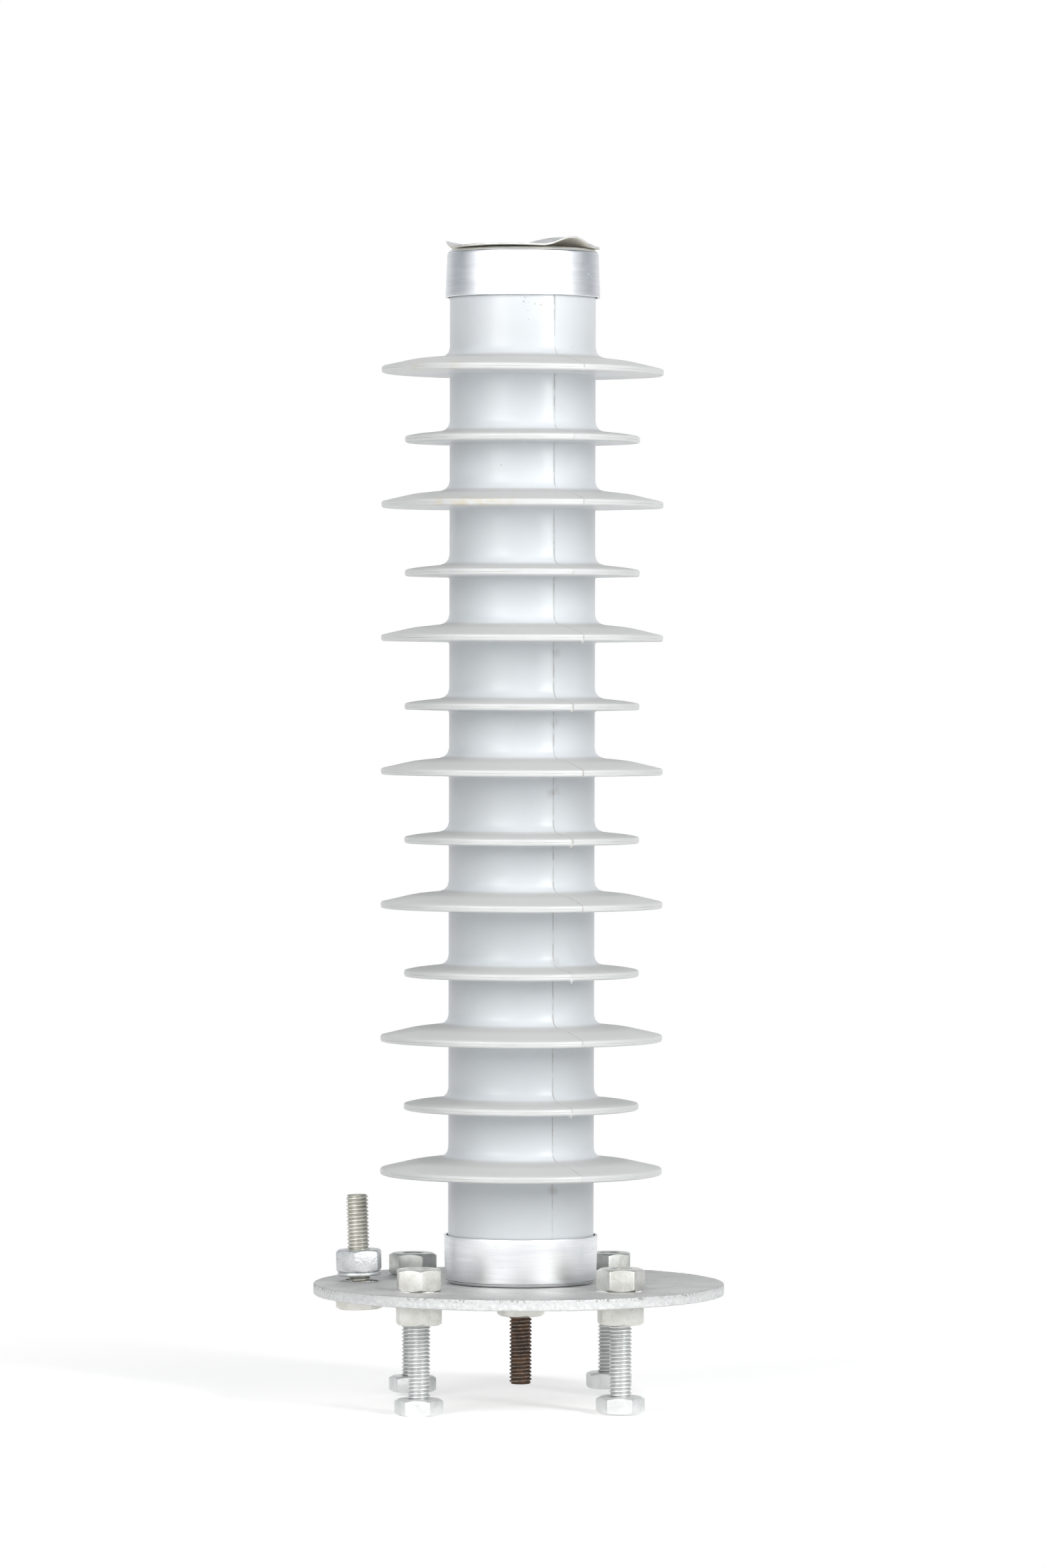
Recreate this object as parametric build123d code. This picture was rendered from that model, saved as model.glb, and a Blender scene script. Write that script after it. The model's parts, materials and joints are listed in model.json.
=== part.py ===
"""Distribution surge arrester: a shedded polymer housing over a tube of zinc oxide discs, held between
two drawn aluminium cups on a round steel base plate. Millimetres. The origin is the middle of the base
plate's underside on the housing's axis, +Z runs up the housing and -Y faces the front."""

import os
from math import cos, pi, radians, sin, tan

from build123d import *

# Thread and hexagon sizes shared by every bolt and nut, 3/8 inch Whitworth
thread_diameter = 9.525
thread_clearance = 0.05
hex_across_flats = 18.0
hex_chamfer_angle = 30
nut_height = 9.4
head_height = 6.9

# Base plate
plate_diameter = 175
plate_thickness = 4.8
plate_shift = -0.85
stud_hole_diameter = 10.5

# Four mounting bolts, put in from below with a nut on each side of the plate
bolt_circle_diameter = 120
bolt_circle_turn = 47.6
bolt_circle_shift = -1.4
bolt_hole_diameter = 10.5
bolt_length = 50.8
bolt_drops = (37.5, 38.9, 40.5, 39.7)
bolt_head_turns = (11, 22, 27, 27)
upper_nut_turns = (-2, 25, 5, 33)
lower_nut_turns = (14, 22, 9, 10)

# Earth terminal, a bolt that leans a little in an oversize hole
earth_edge_distance = 19.6
earth_bolt_depth = 7
earth_bolt_length = 42
earth_bolt_lean = -1.7
earth_bolt_turn = -28
earth_hole_diameter = 13
earth_hole_shift = 1.4
earth_head_gap = 0.3
earth_nut_turn = -7.5
earth_washer_diameter = 18.4
earth_washer_thickness = 1.8
earth_washer_bore = 10
earth_washer_lift = 2.3

# Centre stud and its nut
stud_length = 63.5
stud_drop = 38.4
centre_nut_turn = 17

# End cups, one drawn shape used at both ends
cup_height = 20.6
cup_wall = 1.1
cup_fit = 0.05
cup_flare = 0.65
cup_shoulder = 3.0
cup_rim_round = 0.4

# Housing, moulded round the tube in one piece
trunk_height = 437.3
housing_wall = 4
trunk_end_round = 2.0
large_shed_reach = 29
small_shed_reach = 19
large_shed_count = 7
top_shed_setback = 50.6
bottom_shed_setback = 46.38
small_shed_sag = 0.74
shed_rim_thickness = 2.7
shed_rim_round = 1.25
shed_knee_reach = 15
shed_knee_round = 45
shed_outer_slope = 13
shed_inner_slope = 6
shed_root_round = 4.4
shed_under_rise = 0.5
shed_under_round = 1.0

# Tube and the stack that it holds
tube_bore = 44
tube_wall = 5
stack_clearance = 0.2
block_length = 30
block_thread_spare = 2.8
ring_section = 3.2
ring_setback = 8
ring_squeeze = 0.1
disc_gap = 3
disc_height = 24
disc_chamfer = 0.8
discs_per_group = 3
group_count = 3
spacer_bore = 16
contact_plate_thickness = 3
spring_length = 38.3
spring_gap = 4.75
spring_wire = 4.5
spring_turns = 4.5

# Cover sheet on the top cup, stuck down in the middle and lifted round its edge
sheet_overhang = 0.45
sheet_thickness = 0.8
sheet_bond_radius = 12
sheet_bond_thickness = 0.05
sheet_edge_power = 1.6
sheet_grid = 25
sheet_lobes = (  # azimuth from the front towards +X, half width, lift of the edge
    (41, 26, 3.7),
    (152, 62, 6.2),
    (-90, 34, 2.7),
    (-20, 50, 0.5),
)

# Diameters that follow from the sizes above
tube_diameter = tube_bore + 2 * tube_wall
trunk_diameter = tube_diameter + 2 * housing_wall
cup_closed_diameter = trunk_diameter + 2 * (cup_fit + cup_wall)
cup_mouth_diameter = cup_closed_diameter + 2 * cup_flare
disc_diameter = tube_bore - 2 * disc_gap
spring_coil_diameter = tube_bore - 2 * spring_gap - spring_wire
sheet_radius = cup_closed_diameter / 2 + sheet_overhang
thread_radius = thread_diameter / 2
corner_radius = hex_across_flats / 2 / cos(pi / 6)

# Levels that follow from the sizes above
cup_floor = plate_thickness + cup_wall
shed_pitch = (trunk_height - top_shed_setback - bottom_shed_setback) / (large_shed_count - 1)
block_thread_depth = stud_length - stud_drop - cup_floor + block_thread_spare
trunk_top = cup_floor + trunk_height
cup_top = trunk_top + cup_wall
stack_bottom = cup_floor + block_length
stack_top = trunk_top - block_length
spacer_count = group_count + 1
discs_length = group_count * discs_per_group * disc_height
spacers_length = stack_top - stack_bottom - discs_length - contact_plate_thickness - spring_length
spacer_length = spacers_length / spacer_count


def turned(outline, closing):
    """A solid turned about the Z axis from an open (radius, height) outline and its closing line."""
    return revolve(Plane.XZ * make_face([outline, closing]), axis=Axis.Z)


def hexagon(height, turn, both_ends=True):
    """A hexagon with chamfered corners and a corner at the angle turn from the front towards +X."""
    flat = hex_across_flats / 2
    drop = (corner_radius - flat) * tan(radians(hex_chamfer_angle))
    top = [(corner_radius, height - drop), (flat, height)] if both_ends else [(corner_radius, height)]
    barrel = Polyline((0, 0), (flat, 0), (corner_radius, drop), *top, (0, height))
    prism = extrude(RegularPolygon(corner_radius, 6, rotation=turn - 90), height)
    return prism & turned(barrel, Line((0, height), (0, 0)))


def nut(turn):
    """A plain hexagon nut standing on Z = 0."""
    bore = Cylinder(thread_radius + thread_clearance, 3 * nut_height)
    return hexagon(nut_height, turn) - bore


def hex_bolt(length, turn):
    """A hexagon head bolt with the underside of its head at Z = 0, threaded up its whole length."""
    head = Pos(0, 0, -head_height) * hexagon(head_height, turn, both_ends=False)
    shank = chamfer(Cylinder(thread_radius, length).edges().group_by(Axis.Z)[-1], 0.8)
    return head + Pos(0, 0, length / 2) * shank


def make_centre_stud():
    """A stud threaded up its whole length, screwed into the lower block and hanging below the plate."""
    stud = chamfer(Cylinder(thread_radius, stud_length).edges(), 0.8)
    return Pos(0, 0, stud_length / 2 - stud_drop) * stud


def bolt_places():
    """Centres of the four mounting bolts: back right, back left, front left, front right."""
    centre = plate_shift + bolt_circle_shift
    turns = [radians(bolt_circle_turn + 90 * step) for step in range(4)]
    return [(centre + bolt_circle_diameter / 2 * cos(a), bolt_circle_diameter / 2 * sin(a)) for a in turns]


def make_base_plate():
    """A plain disc with the stud hole, four bolt holes and the oversize earth hole."""
    plate = Pos(plate_shift, 0, plate_thickness / 2) * Cylinder(plate_diameter / 2, plate_thickness)
    plate = chamfer(plate.edges(), 0.3)
    holes = [((0, 0), stud_hole_diameter)]
    holes += [(place, bolt_hole_diameter) for place in bolt_places()]
    holes.append(((earth_place()[0] + earth_hole_shift, earth_bolt_depth), earth_hole_diameter))
    for (x, y), diameter in holes:
        plate -= Pos(x, y, 0) * Cylinder(diameter / 2, 4 * plate_thickness)
    return plate


def make_mounting_bolts():
    """Four bolts, heads down, each let down by its own amount."""
    settings = zip(bolt_places(), bolt_drops, bolt_head_turns)
    return [Pos(x, y, -drop) * hex_bolt(bolt_length, turn) for (x, y), drop, turn in settings]


def make_nuts(level, turns):
    """Four mounting nuts whose lower faces lie at one level."""
    return [Pos(x, y, level) * nut(turn) for (x, y), turn in zip(bolt_places(), turns)]


def earth_place():
    """Where the earth bolt's axis meets the plate's underside."""
    return plate_shift - plate_diameter / 2 + earth_edge_distance, earth_bolt_depth


def earth_frame(height):
    """The leaning frame of the earth terminal, at a height along the bolt."""
    return Pos(*earth_place(), -earth_head_gap) * Rot(0, earth_bolt_lean, 0) * Pos(0, 0, height)


def make_earth_washer():
    """A flat washer with rounded outer edges."""
    washer = Cylinder(earth_washer_diameter / 2, earth_washer_thickness)
    washer = fillet(washer.edges(), 0.45 * earth_washer_thickness)
    washer -= Cylinder(earth_washer_bore / 2, 3 * earth_washer_thickness)
    return earth_frame(washer_level() + earth_washer_thickness / 2) * washer


def washer_level():
    """Height of the earth washer's underside along its bolt."""
    return earth_head_gap + plate_thickness + earth_washer_lift


def make_earth_nut():
    """The nut that sits on the earth washer."""
    return earth_frame(washer_level() + earth_washer_thickness) * nut(earth_nut_turn)


def make_cup():
    """A drawn cup standing on its closed end, flaring slightly to its mouth, with a stud hole."""
    closed, mouth = cup_closed_diameter / 2, cup_mouth_diameter / 2
    hole = stud_hole_diameter / 2
    points = [(hole, 0), (closed, 0), (mouth, cup_height), (mouth - cup_wall, cup_height)]
    points += [(closed - cup_wall, cup_wall), (hole, cup_wall)]
    rounds = [cup_shoulder, cup_rim_round, cup_rim_round, cup_shoulder - cup_wall]
    return turned(FilletPolyline(*points, radius=rounds), Line(points[-1], points[0]))


def shed_points(reach, level):
    """Corners and corner radii of one shed, from its top root round the rim to its lower root."""
    trunk, half = trunk_diameter / 2, shed_rim_thickness / 2
    tip = trunk + reach
    knee = half + (reach - shed_knee_reach) * tan(radians(shed_outer_slope))
    root = knee + shed_knee_reach * tan(radians(shed_inner_slope))
    corners = [(trunk, root, shed_root_round), (trunk + shed_knee_reach, knee, shed_knee_round)]
    corners += [(tip, half, shed_rim_round), (tip, -half, shed_rim_round)]
    corners.append((trunk, -half - shed_under_rise, shed_under_round))
    return [((radius, cup_floor + level + height), round_) for radius, height, round_ in corners]


def make_housing():
    """The trunk with its alternating large and small sheds, one outline turned about the axis."""
    trunk, inner = trunk_diameter / 2, tube_diameter / 2
    corners = [((trunk, trunk_top), trunk_end_round)]
    for index in range(large_shed_count):
        level = trunk_height - top_shed_setback - index * shed_pitch
        corners += shed_points(large_shed_reach, level)
        if index < large_shed_count - 1:
            corners += shed_points(small_shed_reach, level - shed_pitch / 2 - small_shed_sag)
    corners.append(((trunk, cup_floor), trunk_end_round))
    points, rounds = zip(*corners)
    outline = FilletPolyline((inner, trunk_top), *points, (inner, cup_floor), radius=rounds)
    return turned(outline, Line((inner, cup_floor), (inner, trunk_top)))


def make_tube():
    """The plain tube that carries the housing and holds the stack."""
    tube = Cylinder(tube_diameter / 2, trunk_height) - Cylinder(tube_bore / 2, trunk_height)
    return Pos(0, 0, (cup_floor + trunk_top) / 2) * tube


def make_block():
    """An end block standing on its outer face, with a tapped hole and a groove for its ring."""
    radius = (tube_bore - stack_clearance) / 2
    block = Pos(0, 0, block_length / 2) * chamfer(Cylinder(radius, block_length).edges(), disc_chamfer)
    hole_radius = thread_radius + thread_clearance
    block -= Pos(0, 0, block_thread_depth / 2) * Cylinder(hole_radius, block_thread_depth)
    groove = Cylinder(radius + 1, ring_section) - Cylinder(tube_bore / 2 - ring_depth(), ring_section)
    return block - Pos(0, 0, ring_setback) * groove


def ring_depth():
    """Radial depth of the squeezed ring between its groove and the tube."""
    return ring_section - ring_squeeze


def make_ring():
    """A sealing ring at the height of its groove above the block's outer face."""
    return Pos(0, 0, ring_setback) * Torus((tube_bore - ring_depth()) / 2, ring_depth() / 2)


def at_bottom(piece):
    """Stands a piece on the lower cup's floor."""
    return Pos(0, 0, cup_floor) * piece


def at_top(piece):
    """Turns a piece over and hangs it from the upper cup's floor."""
    return Pos(0, 0, trunk_top) * Rot(180, 0, 0) * piece


def make_disc():
    """A zinc oxide disc standing on Z = 0."""
    disc = chamfer(Cylinder(disc_diameter / 2, disc_height).edges(), disc_chamfer)
    return Pos(0, 0, disc_height / 2) * disc


def make_spacer():
    """A bored metal spacer as wide as the discs, standing on Z = 0."""
    spacer = chamfer(Cylinder(disc_diameter / 2, spacer_length).edges(), disc_chamfer)
    return Pos(0, 0, spacer_length / 2) * (spacer - Cylinder(spacer_bore / 2, spacer_length))


def make_stack():
    """Spacers and groups of discs from the lower block up to the contact plate."""
    stack = {}
    level = stack_bottom
    for group in range(spacer_count):
        stack[f"spacer_{group + 1}"] = Pos(0, 0, level) * make_spacer()
        level += spacer_length
        for place in range(discs_per_group if group < group_count else 0):
            stack[f"zinc_oxide_disc_{group * discs_per_group + place + 1}"] = Pos(0, 0, level) * make_disc()
            level += disc_height
    plate = Cylinder(disc_diameter / 2, contact_plate_thickness)
    stack["contact_plate"] = Pos(0, 0, level + contact_plate_thickness / 2) * plate
    return stack


def make_spring():
    """A compression spring with both ends ground flat, under the upper block."""
    coil = Helix(spring_length / spring_turns, spring_length, spring_coil_diameter / 2)
    wire = sweep((coil ^ 0) * Circle(spring_wire / 2), path=coil)
    wire &= Pos(0, 0, spring_length / 2) * Cylinder(spring_coil_diameter, spring_length)
    return Pos(0, 0, stack_top - spring_length) * wire


def sheet_lift(x, y):
    """Height of the sheet's underside above the cup at a place on its grid."""
    reach = max(0.0, (x * x + y * y) ** 0.5 - sheet_bond_radius) / (sheet_radius - sheet_bond_radius)
    azimuth = Vector(0, -1, 0).get_signed_angle(Vector(x, y, 0)) if reach else 0
    lift = 0
    for middle, half_width, height in sheet_lobes:
        away = abs((azimuth - middle + 180) % 360 - 180) / half_width
        if away < 1:
            lift += height * cos(away * pi / 2) ** 2
    return lift * reach**sheet_edge_power


def make_sheet():
    """A thin round sheet whose edge rises and falls in lobes."""
    span = 1.05 * sheet_radius
    steps = [span * (2 * i / (sheet_grid - 1) - 1) for i in range(sheet_grid)]
    points = [[(x, y, sheet_lift(x, y)) for y in steps] for x in steps]
    surface = Face.make_surface_from_array_of_points(points, tol=0.02)
    blank = Solid.thicken(surface, sheet_thickness, normal_override=(0, 0, 1))
    return Pos(0, 0, cup_top + sheet_bond_thickness) * (blank & Cylinder(sheet_radius, sheet_radius))


def make_parts():
    """Every piece of the arrester by its name."""
    parts = {
        "housing": make_housing(),
        "top_cup": Pos(0, 0, cup_top) * Rot(180, 0, 0) * make_cup(),
        "bottom_cup": Pos(0, 0, plate_thickness) * make_cup(),
        "top_sheet": make_sheet(),
        "base_plate": make_base_plate(),
        "mounting_bolts": make_mounting_bolts(),
        "upper_nuts": make_nuts(plate_thickness, upper_nut_turns),
        "lower_nuts": make_nuts(-nut_height, lower_nut_turns),
        "earth_bolt": earth_frame(0) * hex_bolt(earth_bolt_length, earth_bolt_turn),
        "earth_washer": make_earth_washer(),
        "earth_nut": make_earth_nut(),
        "centre_stud": make_centre_stud(),
        "centre_nut": Pos(0, 0, -nut_height) * nut(centre_nut_turn),
        "tube": make_tube(),
        "bottom_block": at_bottom(make_block()),
        "top_block": at_top(make_block()),
        "bottom_ring": at_bottom(make_ring()),
        "top_ring": at_top(make_ring()),
        "spring": make_spring(),
    }
    return parts | make_stack()


def main():
    os.makedirs("parts", exist_ok=True)
    for name, shape in make_parts().items():
        solids = shape if isinstance(shape, list) else shape.solids()
        export_step(Compound(children=list(solids)), f"parts/{name}.step")


main()
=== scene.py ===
import json
import math

import bmesh
import bpy
import numpy as np
from mathutils import Matrix, Vector, noise


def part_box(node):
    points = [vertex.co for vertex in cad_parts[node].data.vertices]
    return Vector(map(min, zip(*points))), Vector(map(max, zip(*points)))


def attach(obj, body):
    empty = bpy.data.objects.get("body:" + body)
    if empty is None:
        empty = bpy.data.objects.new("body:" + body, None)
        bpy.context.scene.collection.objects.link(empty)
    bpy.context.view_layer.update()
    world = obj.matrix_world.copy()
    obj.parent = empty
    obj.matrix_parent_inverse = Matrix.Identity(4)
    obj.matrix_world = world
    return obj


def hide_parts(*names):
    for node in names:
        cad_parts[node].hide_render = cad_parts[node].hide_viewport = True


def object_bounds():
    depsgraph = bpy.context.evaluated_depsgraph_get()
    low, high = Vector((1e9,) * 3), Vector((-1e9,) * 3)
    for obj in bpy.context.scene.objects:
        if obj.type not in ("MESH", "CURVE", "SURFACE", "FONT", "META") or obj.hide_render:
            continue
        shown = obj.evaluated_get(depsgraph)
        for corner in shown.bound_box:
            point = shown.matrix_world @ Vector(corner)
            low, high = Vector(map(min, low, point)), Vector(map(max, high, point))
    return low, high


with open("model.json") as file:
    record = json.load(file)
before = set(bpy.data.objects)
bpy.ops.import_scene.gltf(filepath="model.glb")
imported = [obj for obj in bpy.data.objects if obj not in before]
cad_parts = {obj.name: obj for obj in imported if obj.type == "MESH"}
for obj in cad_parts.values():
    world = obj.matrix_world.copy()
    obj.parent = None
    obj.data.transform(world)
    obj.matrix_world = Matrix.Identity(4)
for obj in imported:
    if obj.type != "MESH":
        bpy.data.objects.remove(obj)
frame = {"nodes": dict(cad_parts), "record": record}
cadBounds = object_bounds()
cadNodes = frame["nodes"]
mm = 0.001
print("frame loaded,", len(cadNodes), "nodes")


class Wire:  # one socket of a shader; arithmetic on it adds Math nodes
    def __init__(self, shader, socket):
        self.shader, self.socket = shader, socket

    def maths(self, operation, first, second):
        values = {"Value": first, "Value_001": second}
        return self.shader.node("Math", {"operation": operation}, values)

    def __add__(self, other):
        return self.maths("ADD", self, other)

    def __sub__(self, other):
        return self.maths("SUBTRACT", self, other)

    def __mul__(self, other):
        return self.maths("MULTIPLY", self, other)

    def __pow__(self, other):
        return self.maths("POWER", self, other)

    def __rsub__(self, other):
        return self.maths("SUBTRACT", other, self)

    def __lt__(self, other):
        return self.maths("LESS_THAN", self, other)

    def __abs__(self):
        return self.maths("ABSOLUTE", self, 0)

    def __or__(self, other):  # the larger of two masks
        return self.maths("MAXIMUM", self, other)

    __radd__ = __add__
    __rmul__ = __mul__


class Shader:  # one node tree and the makers for the nodes in it
    def __init__(self, tree):
        self.tree = tree

    def node(self, kind, settings, values, output=0):
        made = self.tree.nodes.new("ShaderNode" + kind)
        for name, value in settings.items():
            setattr(made, name, value)
        for name, value in values.items():
            entry = next(s for s in made.inputs if s.identifier == name)
            if isinstance(value, Wire):
                self.tree.links.new(value.socket, entry)
            else:
                entry.default_value = value
        return Wire(self, made.outputs[output])

    def mix(self, first, second, share):  # one colour into another
        first, second = [c if isinstance(c, Wire) else (*c, 1) for c in (first, second)]
        values = {"Factor_Float": share, "A_Color": first, "B_Color": second}
        return self.node("Mix", {"data_type": "RGBA"}, values, 2)

    def cloud(self, size, detail=3, roughness=0.5):  # soft noise, size in mm
        values = {"Vector": self.place, "Scale": 1 / (size * mm), "Detail": detail, "Roughness": roughness}
        return self.node("TexNoise", {}, values)

    def cells(self, size):  # distance to cell centres, size in mm
        return self.node("TexVoronoi", {}, {"Vector": self.place, "Scale": 1 / (size * mm)})

    def rays(self, *kinds):  # 1 for rays of these kinds
        outputs = self.node("LightPath", {}, {}).socket.node.outputs
        seen = Wire(self, outputs[f"Is {kinds[0]} Ray"])
        for kind in kinds[1:]:
            seen = seen | Wire(self, outputs[f"Is {kind} Ray"])
        return seen

    def step(self, value, low, high):  # 0 below low, 1 above high, smooth between
        values = {"Value": value, "From Min": low, "From Max": high}
        return self.node("MapRange", {"interpolation_type": "SMOOTHSTEP"}, values)

    def bump(self, height, strength, depth, before=None):  # depth in mm
        values = {"Height": height, "Strength": strength, "Distance": depth * mm}
        if before:
            values["Normal"] = before
        return self.node("Bump", {}, values)


class Finish(Shader):  # one material; a piece's varying sockets are fed, and the even ones set
    def __init__(self, name, even):
        self.material = bpy.data.materials.new(name)
        self.material.use_nodes = True
        super().__init__(self.material.node_tree)
        self.principled = self.tree.nodes["Principled BSDF"]
        for entry, value in even.items():
            self.principled.inputs[entry].default_value = value
        self.place = self.node("TexCoord", {}, {}, 3)
        split = self.node("SeparateXYZ", {}, {"Vector": self.place})
        outputs = split.socket.node.outputs
        self.x, self.y, self.z = [Wire(self, outputs[axis]) for axis in range(3)]
        facing = self.node("NewGeometry", {}, {}, 1)
        self.upward = Wire(self, self.node("SeparateXYZ", {}, {"Vector": facing}).socket.node.outputs[2])

    def feed(self, **wires):
        for name, wire in wires.items():
            entry = {"colour": "Base Color", "roughness": "Roughness", "metal": "Metallic",
                     "normal": "Normal"}[name]
            self.tree.links.new(wire.socket, self.principled.inputs[entry])

    def fed(self, entry):  # what feeds a socket so far
        return Wire(self, self.principled.inputs[entry].links[0].from_socket)

    def fromAxis(self):  # metres from the housing's axis
        return (self.x * self.x + self.y * self.y) ** 0.5

    def wrapped(self, along, up):  # noise round the axis: lumps per radian along the turn, and per metre up
        azimuth = self.x.maths("ARCTAN2", self.x, self.y * -1)
        place = self.node("CombineXYZ", {}, {"X": azimuth * along, "Y": 0.0, "Z": self.z * up})
        return self.node("TexNoise", {}, {"Vector": place, "Scale": 1.0, "Detail": 2.0})

    def spot(self, centre, radius, soft):  # 1 inside a small ball, in mm
        values = {"Vector": self.place, "Vector_001": tuple(c * mm for c in centre)}
        far = self.node("VectorMath", {"operation": "DISTANCE"}, values, 1)
        return 1 - self.step(far, radius * mm * (1 - soft), radius * mm)

    def attribute(self, name):
        return self.node("Attribute", {"attribute_name": name}, {}, 2)


def direction(azimuth):  # unit x and y of an azimuth in degrees from the front towards +X
    turn = np.radians(azimuth)
    return np.sin(turn), -np.cos(turn)


def rounded(corners, arcPoints, stride=None):
    # a line of (radius, height) through corners of (radius, height, rounding), in mm; each arc is
    # arcPoints + 1 places, and a stride breaks up long runs
    line = [np.array(corners[0][:2], float)]
    for before, here, after in zip(corners, corners[1:], corners[2:]):
        a, b, c = [np.array(p[:2], float) for p in (before, here, after)]
        back, ahead = (a - b) / np.linalg.norm(a - b), (c - b) / np.linalg.norm(c - b)
        opening = math.acos(max(-1, min(1, float(back @ ahead))))
        turn = math.pi - opening
        if here[2] <= 0 or turn < 0.01:
            line.append(b)
            continue
        reach = here[2] * math.tan(turn / 2)
        middle = b + (back + ahead) / np.linalg.norm(back + ahead) * here[2] / math.cos(turn / 2)
        start, end = b + back * reach - middle, b + ahead * reach - middle
        for share in np.linspace(0, 1, arcPoints + 1):
            weights = math.sin((1 - share) * turn), math.sin(share * turn)
            line.append(middle + (start * weights[0] + end * weights[1]) / math.sin(turn))
    line.append(np.array(corners[-1][:2], float))
    if stride is None:
        return np.array(line)
    filled = [line[0]]
    for here in line[1:]:
        parts = max(1, math.ceil(np.linalg.norm(here - filled[-1]) / stride))
        last = filled[-1]
        filled += [last + (here - last) * k / parts for k in range(1, parts + 1)]
    return np.array(filled)


def evenAzimuths(columns):
    return np.arange(columns) * 360 / columns


def turnedPoints(radii, heights, azimuths):  # rows down a line, columns round the axis, in mm
    east, south = direction(np.asarray(azimuths))
    radii, heights = np.broadcast_arrays(np.atleast_2d(radii), np.atleast_2d(heights))
    return np.stack([radii * east, radii * south, heights], axis=-1)


def gridFaces(rows, columns, closedRows=False):
    row, column = np.meshgrid(np.arange(rows if closedRows else rows - 1), np.arange(columns), indexing="ij")
    upper, lower, beside = row * columns, (row + 1) % rows * columns, (column + 1) % columns
    corners = [upper + column, lower + column, lower + beside, upper + beside]
    return np.stack(corners, axis=-1).reshape(-1, 4).tolist()


def capFaces(rows, columns):  # the two end faces of a grid
    last = (rows - 1) * columns
    return [list(range(columns))[::-1], list(range(last, last + columns))]


seedSteps = (7.31, -3.17, 1.93)  # how far a seed moves the noise
fractal = {"roughness": 0.7, "spacing": 2.1}


def lumps(points, size, seed, detail=1):  # even noise from -1 to 1 at places in mm
    flat = points.reshape(-1, 3)
    shift = Vector([seed * step for step in seedSteps])
    if detail == 1:
        values = [noise.noise(Vector(p) / size + shift) for p in flat]
    else:
        form = fractal["roughness"], fractal["spacing"], detail
        values = [noise.fractal(Vector(p) / size + shift, *form) for p in flat]
    return np.array(values).reshape(points.shape[:-1])


def addObject(name, data):
    made = bpy.data.objects.new(name, data)
    bpy.context.scene.collection.objects.link(made)
    return made


def addSmooth(name, mesh, sharpAngle):  # a smooth object, with hard edges past an angle in degrees
    mesh.shade_smooth()
    mesh.set_sharp_from_angle(angle=math.radians(sharpAngle))
    return addObject(name, mesh)


weldGap = 1e-7  # metres


def makePiece(name, shells, sharpAngle, attributes=None):
    # one object from several (points, faces) shells in mm, with a value for each point under each attribute
    points, faces, start = [], [], 0
    for places, sides in shells:
        flat = np.asarray(places, float).reshape(-1, 3)
        points.append(flat)
        faces += [[corner + start for corner in side] for side in sides]
        start += len(flat)
    mesh = bpy.data.meshes.new(name)
    mesh.from_pydata((np.concatenate(points) * mm).tolist(), [], faces)
    for label, values in (attributes or {}).items():
        layer = mesh.attributes.new(label, "FLOAT", "POINT")
        layer.data.foreach_set("value", np.asarray(values, np.float32).ravel())
    build = bmesh.new()
    build.from_mesh(mesh)
    bmesh.ops.remove_doubles(build, verts=build.verts, dist=weldGap)
    bmesh.ops.dissolve_degenerate(build, dist=weldGap, edges=build.edges)
    bmesh.ops.recalc_face_normals(build, faces=build.faces)
    build.to_mesh(mesh)
    build.free()
    return addSmooth(name, mesh, sharpAngle)


def place(piece, finish, slotName, *stoodFor):  # finish and body of a piece
    piece.data.materials.clear()
    piece.data.materials.append(finish.material)
    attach(piece, "root")
    if stoodFor:
        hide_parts(*stoodFor)


def moveTo(points, node):  # points whose box has the same middle as a CAD node's box
    low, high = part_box(node)
    flat = points.reshape(-1, 3)
    middle = (flat.min(0) + flat.max(0)) / 2
    return points + (np.array((low + high) / 2) / mm - middle)


def solidsOf(node):
    # each solid of a CAD node: middle, lowest and highest level, and the azimuth of a corner, in mm
    build = bmesh.new()
    build.from_mesh(cadNodes[node].data)
    bmesh.ops.remove_doubles(build, verts=build.verts, dist=10 * weldGap)
    left, found = set(build.verts), []
    while left:
        queue = [left.pop()]
        island = []
        while queue:
            vertex = queue.pop()
            island.append(np.array(vertex.co) / mm)
            near = {edge.other_vert(vertex) for edge in vertex.link_edges} & left
            left -= near
            queue += near
        island = np.array(island)
        middle = (island.min(0) + island.max(0)) / 2
        arm = island - middle
        corner = arm[np.argmax(np.hypot(arm[:, 0], arm[:, 1]).round(4))]
        found.append({"x": middle[0], "y": middle[1], "low": island[:, 2].min(), "high": island[:, 2].max(),
                      "corner": math.degrees(math.atan2(corner[0], -corner[1]))})
    build.free()
    return sorted(found, key=lambda solid: (solid["y"], solid["x"]))  # front left, front right, back ...


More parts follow.
